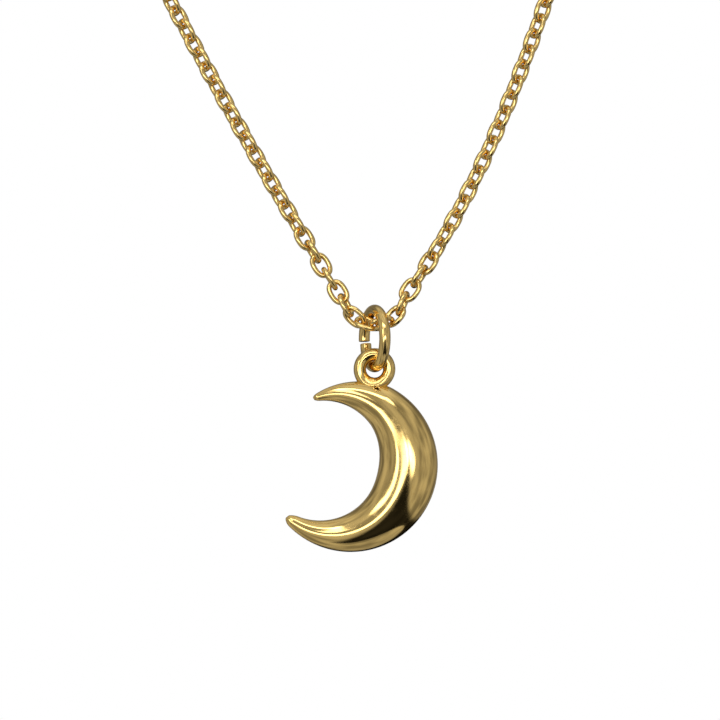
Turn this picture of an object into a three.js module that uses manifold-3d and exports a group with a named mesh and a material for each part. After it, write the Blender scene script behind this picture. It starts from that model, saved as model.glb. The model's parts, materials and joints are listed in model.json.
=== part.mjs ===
// Crescent-moon pendant on a cable-link necklace chain, hung over a horizontal display bar.
// Millimetres, +Z up. The origin is on the bar's axis, straight above the pendant; the bar runs along X.
// The pendant and the front of the chain hang at -Y of the bar, the clasp's loop hangs at +Y.
import * as THREE from "three";
import { mergeVertices } from "three/addons/utils/BufferGeometryUtils.js";
import Module from "manifold-3d";

// ---- Driving dimensions ----

// Clearances
const REST_GAP = 0.04; // between two pieces that hang on one another
const SOLDER_GAP = 0.03; // between two pieces that are soldered together

// Display bar and how the chain lies over it
const FRONT_Y = -3.4;
const BACK_Y = 3.4;
const HANG_DROP = 117.65; // bar axis down to the chain's lowest point at the pendant

// Cable chain
const LINK_WIRE = 0.45;
const LINK_INNER_LENGTH = 1.485;
const LINK_SIDE_PLAY = 0.39; // spare width inside a link beside the wire of the next one
const LINK_WIDTH = 3 * LINK_WIRE + LINK_SIDE_PLAY;
const LINK_LENGTH = LINK_INNER_LENGTH + 2 * LINK_WIRE;
const RING_SEAT = 0.46 * LINK_WIDTH; // height of the chain's lowest links, that the jump ring rests on
const BEND_SLACK = 0.1; // further spare length of the links that bend out of the jump ring

// The two front strands: each climbs as a catenary, tan(slope) growing evenly with length,
// after a few links that bend up out of the jump ring.
const LEFT_STRAND = {
  name: "left",
  side: -1,
  links: 23,
  slack: 0.08, // spare length between two links that pull on one another
  bendDegrees: [14, 42, 62],
  startSlope: 1.58,
  catenary: 91,
  bendRolls: [52, -32, 70], // lean of each bending link about its length, away from facing forwards
  firstRoll: -4, // lean of the next link
  settledRoll: 40,
  rollSettles: 6, // links over which the strand turns to its settled lean
};
const RIGHT_STRAND = {
  name: "right",
  side: 1,
  links: 22,
  slack: 0.04,
  bendDegrees: [14, 46, 68],
  startSlope: 1.424,
  catenary: 18,
  bendRolls: [53, -38, 72],
  firstRoll: -12,
  settledRoll: -52,
  rollSettles: 4,
};

// Routes of the two chain runs, from the last modelled link over the bar to the clasp
const LEFT_RUN = [
  [-18.0, -3.4, -89.1],
  [-24.3, -3.4, -76.7],
  [-30.2, -3.4, -64.2],
  [-35.8, -3.4, -51.6],
  [-41.1, -3.4, -38.8],
  [-46.2, -3.4, -26.0],
  [-51.1, -3.4, -13.0],
  [-55.7, -3.4, 0.0],
  [-55.7, -2.8, 2.0],
  [-55.7, -1.1, 3.2],
  [-55.7, 1.1, 3.2],
  [-55.7, 2.8, 2.0],
  [-55.7, 3.4, 0.0],
  [-53.1, 3.4, -9.0],
  [-50.2, 3.4, -18.0],
  [-46.9, 3.4, -26.8],
  [-43.2, 3.4, -35.3],
  [-39.0, 3.4, -43.4],
  [-34.0, 3.4, -51.1],
  [-28.2, 3.4, -57.8],
  [-21.5, 3.4, -63.2],
  [-13.8, 3.4, -66.2],
];
const RIGHT_RUN = [
  [15.4, -3.4, -88.4],
  [19.5, -3.4, -76.7],
  [23.7, -3.4, -64.2],
  [27.1, -3.4, -51.5],
  [30.1, -3.4, -38.7],
  [32.8, -3.4, -25.8],
  [35.3, -3.4, -12.9],
  [37.6, -3.4, 0.0],
  [37.6, -2.8, 2.0],
  [37.6, -1.1, 3.2],
  [37.6, 1.1, 3.2],
  [37.6, 2.8, 2.0],
  [37.6, 3.4, 0.0],
  [35.0, 3.4, -8.8],
  [32.2, 3.4, -17.5],
  [29.0, 3.4, -26.1],
  [25.5, 3.4, -34.4],
  [21.4, 3.4, -42.5],
  [16.7, 3.4, -50.0],
  [11.2, 3.4, -56.7],
  [4.8, 3.4, -62.2],
  [-2.5, 3.4, -65.7],
];
const RUN_STEPS = 40;
const RUN_SIDES = 8;

// Jump ring, a round of wire with a cut in its rear half
const JUMP_RING_WIRE = 1.0;
const JUMP_RING_INNER = 4.0; // inside diameter
const JUMP_RING_TURN = 21; // degrees that its plane is turned from pointing straight at the viewer
const JUMP_RING_CUT = 0.2; // width of the cut
const JUMP_RING_CUT_ANGLE = -8; // below the ring's middle, on its rear half

// Bail ring, soldered on the crescent
const BAIL_WIRE = 1.1;
const BAIL_INNER = 1.5;
const BAIL_STAND = 1.02; // from the crescent's rim to the bail's centre
const BAIL_ANGLE = 76; // place on the rim, up from the +X direction
const SADDLE_LENGTH = 3.3; // solder saddle between the bail and the crescent
const SADDLE_DEPTH = 1.3;
const SADDLE_HEIGHT = 0.9;

// Hollow crescent: outer and inner outline circles, horns and puffed section
const CRESCENT_OUTER_RADIUS = 7.71;
const CRESCENT_INNER_RADIUS = 0.6874 * CRESCENT_OUTER_RADIUS;
const CRESCENT_OFFSET = 0.3684 * CRESCENT_OUTER_RADIUS; // between the centres of the two circles
const CRESCENT_LEAN = 10.7; // degrees that its fat middle points below +X
const HORN_ANGLE = 130.5; // from the fat middle to each tip
const HORN_CURL_START = 74; // degrees from the middle where the upper horn starts to curl in
const HORN_CURL = 0.00175 * CRESCENT_OUTER_RADIUS; // how far it curls in, for each further degree
const INNER_CURL_SHARE = 0.45;
const LIMB_SLIMMING = 0.026 * CRESCENT_OUTER_RADIUS; // taken off the limbs at a quarter turn
const UPPER_TIP_ROUND = 4; // degrees over which a tip is rounded
const LOWER_TIP_ROUND = 6;
const PUFF = 0.8; // thickness of the crescent as a share of its width
const SHELL_WALL = 0.3;
const HOLLOW_END = 96; // degrees from the middle where the hollow stops and the horns are solid
const VENT_DIAMETER = 0.45;
const VENT_BELOW_RIM = 0.45;
const VENT_ANGLE = 71.4;

// Spring-ring clasp
const CLASP_CENTRE = [-9.06, BACK_Y, -66.3];
const CLASP_RADIUS = 2.3; // middle of the tube
const CLASP_BORE = 1.0;
const CLASP_WALL = 0.2;
const CLASP_TUBE = CLASP_BORE + 2 * CLASP_WALL;
const BOLT_CLEARANCE = 0.08; // between the bolt and its bore, all round
const BOLT_DIAMETER = CLASP_BORE - 2 * BOLT_CLEARANCE;
const GATE_HALF_ANGLE = 30; // the mouth in the ring's side
const BOLT_SEAT_ANGLE = 4; // how far the closed bolt enters the far side
const BOLT_TRAVEL = 58; // degrees that the bolt slides back
const BOLT_TAIL = 45; // degrees of bolt that stay inside the tube beyond the mouth
const SPRING_ROOM = 114; // degrees of bore behind the closed bolt
const SPRING_STOP = 8; // degrees of solid tube that the spring pushes on
const THUMB_WIDTH = 0.5;
const THUMB_STAND = 0.75; // how far the thumb piece stands out of the tube
const THUMB_FROM_TAIL = 9; // degrees from the bolt's inner end to the thumb piece
const SPRING_WIRE = 0.14;
const SPRING_COILS = 9;
const EYE_RADIUS = 0.85;
const EYE_WIRE = 0.5;
const CATCH_RING_RADIUS = 1.3;
const CATCH_RING_WIRE = 0.6;
const END_RING_RADIUS = 1.05;
const END_RING_WIRE = 0.5;

// ---- Materials ----

function gold(color, roughness) {
  return new THREE.MeshStandardMaterial({ color, roughness, metalness: 1 });
}
const PENDANT_GOLD = gold(0xd9b564, 0.12);
const CHAIN_GOLD = gold(0xd4b060, 0.2);
const SPRING_STEEL = gold(0xb8b8b4, 0.3);

// ---- Solid helpers ----

const wasm = await Module();
wasm.setup();

// A closed geometry as a manifold solid, in its own frame.
function solidOf(geometry) {
  const bare = geometry.clone();
  bare.deleteAttribute("normal");
  bare.deleteAttribute("uv");
  const merged = mergeVertices(bare, 1e-4);
  return new wasm.Manifold(
    new wasm.Mesh({
      numProp: 3,
      vertProperties: merged.attributes.position.array,
      triVerts: new Uint32Array(merged.index.array),
    }),
  );
}

function geometryOf(solid) {
  const mesh = solid.getMesh();
  const geometry = new THREE.BufferGeometry();
  geometry.setAttribute("position", new THREE.BufferAttribute(mesh.vertProperties, 3));
  geometry.setIndex(new THREE.BufferAttribute(mesh.triVerts, 1));
  geometry.computeVertexNormals();
  return geometry;
}

function named(name, geometry, material) {
  const mesh = new THREE.Mesh(geometry, material);
  mesh.name = name;
  return mesh;
}

const radians = THREE.MathUtils.degToRad;

// A round arc in the XY plane between two angles in degrees.
class ArcPath extends THREE.Curve {
  constructor(radius, fromDegrees, toDegrees) {
    super();
    this.radius = radius;
    this.from = radians(fromDegrees);
    this.sweep = radians(toDegrees - fromDegrees);
  }
  getPoint(t, target = new THREE.Vector3()) {
    const angle = this.from + this.sweep * t;
    return target.set(this.radius * Math.cos(angle), this.radius * Math.sin(angle), 0);
  }
}

// A helix wound round an arc in the XY plane.
class ArcHelix extends THREE.Curve {
  constructor(radius, coilRadius, fromDegrees, toDegrees, coils) {
    super();
    this.radius = radius;
    this.coilRadius = coilRadius;
    this.from = radians(fromDegrees);
    this.sweep = radians(toDegrees - fromDegrees);
    this.coils = coils;
  }
  getPoint(t, target = new THREE.Vector3()) {
    const angle = this.from + this.sweep * t;
    const turn = 2 * Math.PI * this.coils * t;
    const reach = this.radius + this.coilRadius * Math.cos(turn);
    return target.set(reach * Math.cos(angle), reach * Math.sin(angle), this.coilRadius * Math.sin(turn));
  }
}

// A regular polygon inscribed in a circle, as the section of a wire or tube.
function wireSection(diameter, sides) {
  const shape = new THREE.Shape();
  for (let i = 0; i < sides; i++) {
    const angle = (2 * Math.PI * (i + 0.5)) / sides;
    const x = (diameter / 2) * Math.cos(angle);
    const y = (diameter / 2) * Math.sin(angle);
    if (i === 0) shape.moveTo(x, y);
    else shape.lineTo(x, y);
  }
  shape.closePath();
  return shape;
}

function wireAlong(path, diameter, sides, steps) {
  return new THREE.ExtrudeGeometry(wireSection(diameter, sides), { extrudePath: path, steps });
}

// ---- Chain ----

// An oval link: a torus whose two halves are drawn apart along X, with straight sides between them.
function linkGeometry() {
  const endRadius = (LINK_WIDTH - LINK_WIRE) / 2;
  const geometry = new THREE.TorusGeometry(endRadius, LINK_WIRE / 2, 5, 10);
  const stretch = (LINK_LENGTH - LINK_WIDTH) / 2;
  const position = geometry.attributes.position;
  for (let i = 0; i < position.count; i++) {
    position.setX(i, position.getX(i) + Math.sign(position.getX(i)) * stretch);
  }
  return geometry;
}

// Centres and tilts of a strand's links. The first is the one inside the jump ring. Each link meets
// the next one half a pitch from its own centre.
function strandPlaces(strand) {
  const settledPitch = LINK_INNER_LENGTH - strand.slack;
  const places = [];
  let x = 0;
  let z = -HANG_DROP;
  for (let i = 0; i <= strand.links; i++) {
    const bending = i < strand.bendDegrees.length;
    const climbed = (i - strand.bendDegrees.length) * settledPitch;
    const hanging = Math.atan(strand.startSlope + climbed / strand.catenary);
    const tilt = bending ? radians(strand.bendDegrees[i]) : hanging;
    const pitch = bending ? settledPitch - BEND_SLACK : settledPitch;
    const halfAcross = (strand.side * pitch * Math.cos(tilt)) / 2;
    const halfUp = (pitch * Math.sin(tilt)) / 2;
    places.push({ x: x + halfAcross, z: z + halfUp, tilt });
    x += 2 * halfAcross;
    z += 2 * halfUp;
  }
  return places;
}

function linkRoll(strand, index) {
  const straight = index - strand.bendRolls.length;
  if (straight < 0) return strand.bendRolls[index];
  const settled = Math.min(1, straight / strand.rollSettles);
  const faceOn = THREE.MathUtils.lerp(strand.firstRoll, strand.settledRoll, settled);
  return straight % 2 === 0 ? faceOn : faceOn + 90;
}

// Turns a link so that its length lies along the strand and its face leans by its roll.
function linkTurn(strand, tilt, roll) {
  const along = new THREE.Vector3(strand.side * Math.cos(tilt), 0, Math.sin(tilt));
  const facing = new THREE.Vector3(0, -1, 0).applyAxisAngle(along, radians(roll));
  const across = new THREE.Vector3().crossVectors(facing, along);
  return new THREE.Matrix4().makeBasis(along, across, facing);
}

function strandLinks(strand) {
  const group = new THREE.Group();
  strandPlaces(strand).forEach((place, index) => {
    const number = String(index).padStart(2, "0");
    const name = index === 0 ? `ring_link_${strand.name}` : `link_${strand.name}_${number}`;
    const link = named(name, linkGeometry(), CHAIN_GOLD);
    link.position.set(place.x, FRONT_Y, place.z);
    link.setRotationFromMatrix(linkTurn(strand, place.tilt, linkRoll(strand, index)));
    group.add(link);
  });
  return group;
}

function chainRun(name, route) {
  const points = route.map((point) => new THREE.Vector3(...point));
  const path = new THREE.CatmullRomCurve3(points, false, "centripetal");
  return named(name, wireAlong(path, LINK_WIDTH, RUN_SIDES, RUN_STEPS), CHAIN_GOLD);
}

// ---- Jump ring ----

const jumpRingRadius = (JUMP_RING_INNER + JUMP_RING_WIRE) / 2;
const jumpRingCentre = -HANG_DROP + RING_SEAT + REST_GAP - JUMP_RING_INNER / 2;
const jumpRingBottom = jumpRingCentre - jumpRingRadius;

// The arc starts and ends at the cut. Its plane is upright, with its front half turned towards +X.
function jumpRing() {
  const halfCut = THREE.MathUtils.radToDeg(JUMP_RING_CUT / 2 / jumpRingRadius);
  const cutAngle = 180 - JUMP_RING_CUT_ANGLE;
  const path = new ArcPath(jumpRingRadius, cutAngle + halfCut, cutAngle + 360 - halfCut);
  const ring = named("jump_ring", wireAlong(path, JUMP_RING_WIRE, 8, 24), PENDANT_GOLD);
  ring.rotation.x = Math.PI / 2;
  const turned = new THREE.Group();
  turned.add(ring);
  turned.rotation.z = radians(JUMP_RING_TURN - 90);
  turned.position.set(0, FRONT_Y, jumpRingCentre);
  return turned;
}

// ---- Pendant: crescent in its own frame, X and Z in its plane, centred on its outer circle ----

function outerOutline(angle) {
  const curl = HORN_CURL * Math.max(0, -angle - HORN_CURL_START);
  return CRESCENT_OUTER_RADIUS - curl;
}

// Distance from the outer circle's centre to the inner circle, more where the limbs are slimmed and
// less where the upper horn curls.
function innerOutline(angle) {
  const along = CRESCENT_OFFSET * Math.cos(radians(angle));
  const aside = CRESCENT_OFFSET * Math.sin(radians(angle));
  const curl = HORN_CURL * Math.max(0, -angle - HORN_CURL_START);
  const slimming = LIMB_SLIMMING * Math.sin(radians(angle)) ** 2 - INNER_CURL_SHARE * curl;
  return Math.sqrt(CRESCENT_INNER_RADIUS ** 2 - aside ** 2) - along + slimming;
}

// 1 along the horn, falling as a quarter circle to 0 at the tip.
function tipRounding(fromTip, roundOver) {
  const short = Math.max(0, 1 - fromTip / roundOver);
  return Math.sqrt(Math.max(0, 1 - short * short));
}

// A closed crescent, `inset` inside the outer surface, that reaches `reach` degrees each way from the
// fat middle. A sphere's poles become the horn tips and its rings become the oval sections.
function crescentGeometry(inset, reach, upperRound, lowerRound) {
  const geometry = new THREE.SphereGeometry(1, 14, 26);
  const position = geometry.attributes.position;
  for (let i = 0; i < position.count; i++) {
    const polar = Math.acos(THREE.MathUtils.clamp(position.getY(i), -1, 1)) / Math.PI;
    const eased = (1 - Math.cos(Math.PI * polar)) / 2;
    const angle = reach * (polar + eased - 1);
    const around = Math.atan2(-position.getZ(i), position.getX(i));
    const middle = (outerOutline(angle) + innerOutline(angle)) / 2;
    const halfWidth = (outerOutline(angle) - innerOutline(angle)) / 2;
    const rounding =
      tipRounding(reach + angle, upperRound) * tipRounding(reach - angle, lowerRound);
    const radial = middle + (halfWidth - inset) * rounding * Math.cos(around);
    const depth = (PUFF * halfWidth - inset) * rounding * Math.sin(around);
    const direction = radians(-CRESCENT_LEAN - angle);
    position.setXYZ(i, radial * Math.cos(direction), depth, radial * Math.sin(direction));
  }
  return geometry;
}

function crescentSolid(inset) {
  return solidOf(crescentGeometry(inset, HORN_ANGLE, UPPER_TIP_ROUND, LOWER_TIP_ROUND));
}

function hollowSolid() {
  return solidOf(crescentGeometry(SHELL_WALL, HOLLOW_END, UPPER_TIP_ROUND, LOWER_TIP_ROUND));
}

// Everything on one side of the seam plane: -1 is the front, 1 the back.
function sideOfSeam(side) {
  const size = 4 * CRESCENT_OUTER_RADIUS;
  const half = new THREE.BoxGeometry(size, size, size);
  half.translate(0, side * (size / 2 + SOLDER_GAP / 2), 0);
  return solidOf(half);
}

function pointOnRim(angle, distance) {
  return [distance * Math.cos(radians(angle)), distance * Math.sin(radians(angle))];
}

function ventSolid() {
  const vent = new THREE.CylinderGeometry(VENT_DIAMETER / 2, VENT_DIAMETER / 2, 4, 10);
  const [x, z] = pointOnRim(VENT_ANGLE, CRESCENT_OUTER_RADIUS - VENT_BELOW_RIM);
  vent.translate(x, -2, z);
  return solidOf(vent);
}

function frontShell() {
  const half = crescentSolid(0).subtract(hollowSolid()).intersect(sideOfSeam(-1));
  return named("crescent_front_shell", geometryOf(half.subtract(ventSolid())), PENDANT_GOLD);
}

function backShell() {
  const half = crescentSolid(0).subtract(hollowSolid()).intersect(sideOfSeam(1));
  return named("crescent_back_shell", geometryOf(half), PENDANT_GOLD);
}

const bailRadius = (BAIL_INNER + BAIL_WIRE) / 2;
const bailFromCentre = CRESCENT_OUTER_RADIUS + BAIL_STAND;

// The ring and its solder saddle, cut to sit on the crescent's skin.
function bailRing() {
  const ring = new THREE.TorusGeometry(bailRadius, BAIL_WIRE / 2, 10, 22);
  ring.rotateX(Math.PI / 2);
  const [x, z] = pointOnRim(BAIL_ANGLE, bailFromCentre);
  ring.translate(x, 0, z);
  const saddle = new THREE.SphereGeometry(0.5, 14, 8);
  saddle.scale(SADDLE_LENGTH, SADDLE_HEIGHT, SADDLE_DEPTH);
  saddle.rotateX(Math.PI / 2);
  saddle.rotateY(radians(90 - BAIL_ANGLE));
  const [saddleX, saddleZ] = pointOnRim(BAIL_ANGLE, CRESCENT_OUTER_RADIUS);
  saddle.translate(saddleX, 0, saddleZ);
  const joined = solidOf(ring).add(solidOf(saddle));
  return named("bail_ring", geometryOf(joined.subtract(crescentSolid(-SOLDER_GAP))), PENDANT_GOLD);
}

// The pendant hangs with the top of its bail on the bottom of the jump ring.
function pendant() {
  const group = new THREE.Group();
  group.add(frontShell(), backShell(), bailRing());
  const [bailX, bailZ] = pointOnRim(BAIL_ANGLE, bailFromCentre);
  const bailCentre = jumpRingBottom + JUMP_RING_WIRE / 2 + REST_GAP - BAIL_INNER / 2;
  group.position.set(-bailX, FRONT_Y, bailCentre - bailZ);
  return group;
}

// ---- Clasp, in its own frame: the ring in XY with its mouth at -X, turned upright at the end ----

const mouthUpper = 180 - GATE_HALF_ANGLE;
const mouthLower = 180 + GATE_HALF_ANGLE;
const boltInnerEnd = mouthLower + BOLT_TAIL;
const thumbAngle = boltInnerEnd - THUMB_FROM_TAIL;
const boreEnd = boltInnerEnd + SPRING_ROOM;
const thumbHalfAngle = THREE.MathUtils.radToDeg(THUMB_WIDTH / 2 / CLASP_RADIUS);
const slotPlayAngle = THREE.MathUtils.radToDeg(BOLT_CLEARANCE / CLASP_RADIUS);

// A flat sector of a ring, for the slot that the thumb piece slides in.
function sectorGeometry(inner, outer, fromDegrees, toDegrees, thickness) {
  const shape = new THREE.Shape();
  shape.absarc(0, 0, outer, radians(fromDegrees), radians(toDegrees), false);
  shape.absarc(0, 0, inner, radians(toDegrees), radians(fromDegrees), true);
  shape.closePath();
  const sector = new THREE.ExtrudeGeometry(shape, { depth: thickness, bevelEnabled: false, curveSegments: 8 });
  return sector.translate(0, 0, -thickness / 2);
}

const eyeCentre = CLASP_RADIUS + CLASP_TUBE / 2 + EYE_RADIUS - EYE_WIRE / 4;

function claspBody() {
  const tubeArc = new ArcPath(CLASP_RADIUS, mouthLower, mouthUpper + 360);
  const boreArc = new ArcPath(CLASP_RADIUS, mouthLower - 1, boreEnd);
  const farBoreArc = new ArcPath(CLASP_RADIUS, boreEnd + SPRING_STOP, mouthUpper + 361);
  const eye = new THREE.TorusGeometry(EYE_RADIUS, EYE_WIRE / 2, 6, 12);
  eye.translate(eyeCentre, 0, 0);
  const slot = sectorGeometry(
    CLASP_RADIUS,
    CLASP_RADIUS + CLASP_TUBE,
    thumbAngle - thumbHalfAngle - slotPlayAngle,
    thumbAngle + BOLT_TRAVEL + thumbHalfAngle + 2 * slotPlayAngle,
    THUMB_WIDTH + 2 * BOLT_CLEARANCE,
  );
  const body = solidOf(wireAlong(tubeArc, CLASP_TUBE, 10, 30))
    .add(solidOf(eye))
    .subtract(solidOf(wireAlong(boreArc, CLASP_BORE, 10, 18)))
    .subtract(solidOf(wireAlong(farBoreArc, CLASP_BORE, 10, 12)))
    .subtract(solidOf(slot));
  return named("clasp_body", geometryOf(body), CHAIN_GOLD);
}

function claspBolt() {
  const boltArc = new ArcPath(CLASP_RADIUS, mouthUpper - BOLT_SEAT_ANGLE, boltInnerEnd);
  const thumbLength = CLASP_TUBE / 2 + THUMB_STAND;
  const thumb = new THREE.CylinderGeometry(THUMB_WIDTH / 2, THUMB_WIDTH / 2, thumbLength, 8);
  thumb.translate(0, thumbLength / 2 + CLASP_RADIUS, 0);
  thumb.rotateZ(radians(thumbAngle - 90));
  const bolt = solidOf(wireAlong(boltArc, BOLT_DIAMETER, 8, 12)).add(solidOf(thumb));
  return named("clasp_bolt", geometryOf(bolt), CHAIN_GOLD);
}

function claspSpring() {
  const coilRadius = (BOLT_DIAMETER - SPRING_WIRE) / 2;
  const helix = new ArcHelix(CLASP_RADIUS, coilRadius, boltInnerEnd + 3, boreEnd - 3, SPRING_COILS);
  return named("clasp_spring", wireAlong(helix, SPRING_WIRE, 4, SPRING_COILS * 6), SPRING_STEEL);
}

// A closed ring that lies across the clasp's plane.
function crossRing(name, radius, wire, centreX) {
  const geometry = new THREE.TorusGeometry(radius, wire / 2, 8, 18);
  geometry.rotateX(Math.PI / 2);
  const ring = named(name, geometry, CHAIN_GOLD);
  ring.position.x = centreX;
  return ring;
}

function clasp() {
  const group = new THREE.Group();
  group.add(claspBody(), claspBolt(), claspSpring());
  const catchInner = CATCH_RING_RADIUS - CATCH_RING_WIRE / 2;
  const catchCentre = -CLASP_RADIUS + BOLT_DIAMETER / 2 + REST_GAP - catchInner;
  group.add(crossRing("catch_ring", CATCH_RING_RADIUS, CATCH_RING_WIRE, catchCentre));
  const endInner = END_RING_RADIUS - END_RING_WIRE / 2;
  const endCentre = eyeCentre + EYE_RADIUS - EYE_WIRE / 2 - REST_GAP + endInner;
  group.add(crossRing("end_ring", END_RING_RADIUS, END_RING_WIRE, endCentre));
  group.rotation.x = Math.PI / 2;
  group.position.set(...CLASP_CENTRE);
  return group;
}

// ---- The necklace ----

const necklace = new THREE.Group();
necklace.add(strandLinks(LEFT_STRAND), strandLinks(RIGHT_STRAND));
necklace.add(chainRun("chain_left_run", LEFT_RUN), chainRun("chain_right_run", RIGHT_RUN));
necklace.add(jumpRing(), pendant(), clasp());

export default necklace;
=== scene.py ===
"""A crescent-moon pendant on a cable chain, hung over a display bar, on the fixed frame.

Everything is in metres, +Z up, with the viewer at -Y. Sizes that belong to the necklace are written in
millimetres with the suffix _mm and turned to metres by MM.
"""

import json
import logging
from dataclasses import dataclass, field
from enum import Enum
from math import cos, pi, radians, sin, tau

import bpy
import numpy as np
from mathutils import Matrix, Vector


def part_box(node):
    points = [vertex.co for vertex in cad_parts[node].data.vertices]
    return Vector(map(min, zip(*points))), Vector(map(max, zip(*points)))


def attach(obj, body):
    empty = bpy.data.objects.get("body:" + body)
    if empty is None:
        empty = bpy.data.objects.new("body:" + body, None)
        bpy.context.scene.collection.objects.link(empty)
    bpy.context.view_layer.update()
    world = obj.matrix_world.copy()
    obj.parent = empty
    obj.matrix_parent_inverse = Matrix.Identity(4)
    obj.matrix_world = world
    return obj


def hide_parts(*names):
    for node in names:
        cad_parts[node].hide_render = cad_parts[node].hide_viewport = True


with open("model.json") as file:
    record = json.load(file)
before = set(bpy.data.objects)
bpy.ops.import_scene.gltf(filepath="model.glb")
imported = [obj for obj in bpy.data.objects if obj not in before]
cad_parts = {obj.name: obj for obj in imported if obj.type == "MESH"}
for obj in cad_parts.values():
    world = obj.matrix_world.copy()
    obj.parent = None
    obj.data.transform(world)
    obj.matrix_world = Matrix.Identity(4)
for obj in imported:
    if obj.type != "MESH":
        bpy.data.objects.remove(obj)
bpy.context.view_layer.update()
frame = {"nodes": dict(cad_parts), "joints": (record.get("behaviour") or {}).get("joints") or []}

MM = 0.001
REST_GAP_MM = 0.04  # between two pieces that hang on one another
LOG = logging.getLogger("necklace")

# Routes of the two chain runs, from the last single link over the bar to the clasp, in millimetres.
LEFT_RUN_MM = [
    (-18.0, -3.4, -89.1), (-24.3, -3.4, -76.7), (-30.2, -3.4, -64.2), (-35.8, -3.4, -51.6),
    (-41.1, -3.4, -38.8), (-46.2, -3.4, -26.0), (-51.1, -3.4, -13.0), (-55.7, -3.4, 0.0),
    (-55.7, -2.8, 2.0), (-55.7, -1.1, 3.2), (-55.7, 1.1, 3.2), (-55.7, 2.8, 2.0),
    (-55.7, 3.4, 0.0), (-53.1, 3.4, -9.0), (-50.2, 3.4, -18.0), (-46.9, 3.4, -26.8),
    (-43.2, 3.4, -35.3), (-39.0, 3.4, -43.4), (-34.0, 3.4, -51.1), (-28.2, 3.4, -57.8),
    (-21.5, 3.4, -63.2), (-13.8, 3.4, -66.2),
]
RIGHT_RUN_MM = [
    (15.4, -3.4, -88.4), (19.5, -3.4, -76.7), (23.7, -3.4, -64.2), (27.1, -3.4, -51.5),
    (30.1, -3.4, -38.7), (32.8, -3.4, -25.8), (35.3, -3.4, -12.9), (37.6, -3.4, 0.0),
    (37.6, -2.8, 2.0), (37.6, -1.1, 3.2), (37.6, 1.1, 3.2), (37.6, 2.8, 2.0),
    (37.6, 3.4, 0.0), (35.0, 3.4, -8.8), (32.2, 3.4, -17.5), (29.0, 3.4, -26.1),
    (25.5, 3.4, -34.4), (21.4, 3.4, -42.5), (16.7, 3.4, -50.0), (11.2, 3.4, -56.7),
    (4.8, 3.4, -62.2), (-2.5, 3.4, -65.7),
]


class Slot(Enum):
    """The record's material slots."""

    PENDANT = "pendant_gold"
    CHAIN = "chain_gold"
    CLASP = "clasp_gold"
    SPRING = "spring_steel"


# ---------------------------------------------------------------- mesh making


def unit(v: np.ndarray) -> np.ndarray:
    """Each vector in the last axis, at length one.

    Args:
        v: the vectors.

    Returns:
        The vectors divided by their lengths.
    """
    return v / np.linalg.norm(v, axis=-1, keepdims=True)


def smoothstep(x: np.ndarray) -> np.ndarray:
    """A smooth rise, 3 t^2 - 2 t^3 with t the value held within 0 and 1.

    Args:
        x: the values.

    Returns:
        0 where x is below 0, 1 where it is above 1.
    """
    t = np.clip(x, 0.0, 1.0)
    return t * t * (3 - 2 * t)


def grid_faces(rows: int, columns: int, wrap_rows: bool) -> np.ndarray:
    """Quads over a grid of vertices whose columns always wrap round.

    Args:
        rows: number of vertex rows.
        columns: number of vertices in a row.
        wrap_rows: whether the last row joins the first.

    Returns:
        An (n, 4) array of vertex numbers.
    """
    last = rows if wrap_rows else rows - 1
    i, j = np.meshgrid(np.arange(last), np.arange(columns), indexing="ij")
    i_next = (i + 1) % rows
    j_next = (j + 1) % columns
    row, row_next = i * columns, i_next * columns
    return np.stack([row + j, row + j_next, row_next + j_next, row_next + j], -1).reshape(-1, 4)


def pole_faces(row_start: int, columns: int, pole: int, flip: bool) -> np.ndarray:
    """Triangles that close a row of vertices to one pole vertex.

    Args:
        row_start: number of the row's first vertex.
        columns: number of vertices in the row.
        pole: number of the pole vertex.
        flip: whether the triangles turn the other way.

    Returns:
        A (columns, 3) array of vertex numbers.
    """
    j = np.arange(columns)
    ring, ring_next = row_start + j, row_start + (j + 1) % columns
    order = (ring_next, ring) if flip else (ring, ring_next)
    return np.stack([*order, np.full(columns, pole)], -1)


def new_object(name: str, points: np.ndarray, faces: list) -> bpy.types.Object:
    """A smooth-shaded mesh object at the origin, its faces turned to point outwards.

    Args:
        name: the object's name.
        points: its vertices in metres.
        faces: lists of vertex numbers.

    Returns:
        The object, linked to the scene.
    """
    mesh = bpy.data.meshes.new(name)
    mesh.from_pydata(points.reshape(-1, 3).tolist(), [], faces)
    mesh.validate()
    mesh.update()
    mesh.shade_smooth()
    obj = bpy.data.objects.new(name, mesh)
    bpy.context.scene.collection.objects.link(obj)
    if signed_volume(mesh) < 0:
        mesh.flip_normals()
    return obj


def signed_volume(mesh: bpy.types.Mesh) -> float:
    """The sum of the tetrahedra from the origin to each triangle.

    Args:
        mesh: a closed mesh.

    Returns:
        The volume inside, negative when the faces point inwards.
    """
    mesh.calc_loop_triangles()
    co = np.zeros(len(mesh.vertices) * 3)
    mesh.vertices.foreach_get("co", co)
    tri = np.zeros(len(mesh.loop_triangles) * 3, dtype=np.int64)
    mesh.loop_triangles.foreach_get("vertices", tri)
    corners = co.reshape(-1, 3)[tri.reshape(-1, 3)]
    return float(np.einsum("ij,ij->", corners[:, 0], np.cross(corners[:, 1], corners[:, 2])) / 6)


def ring_mesh(name: str, points: np.ndarray) -> bpy.types.Object:
    """A closed ring surface from a grid that wraps both ways.

    Args:
        name: the object's name.
        points: a (steps, around, 3) grid in metres.

    Returns:
        The object.
    """
    return new_object(name, points, grid_faces(*points.shape[:2], True).tolist())


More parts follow.
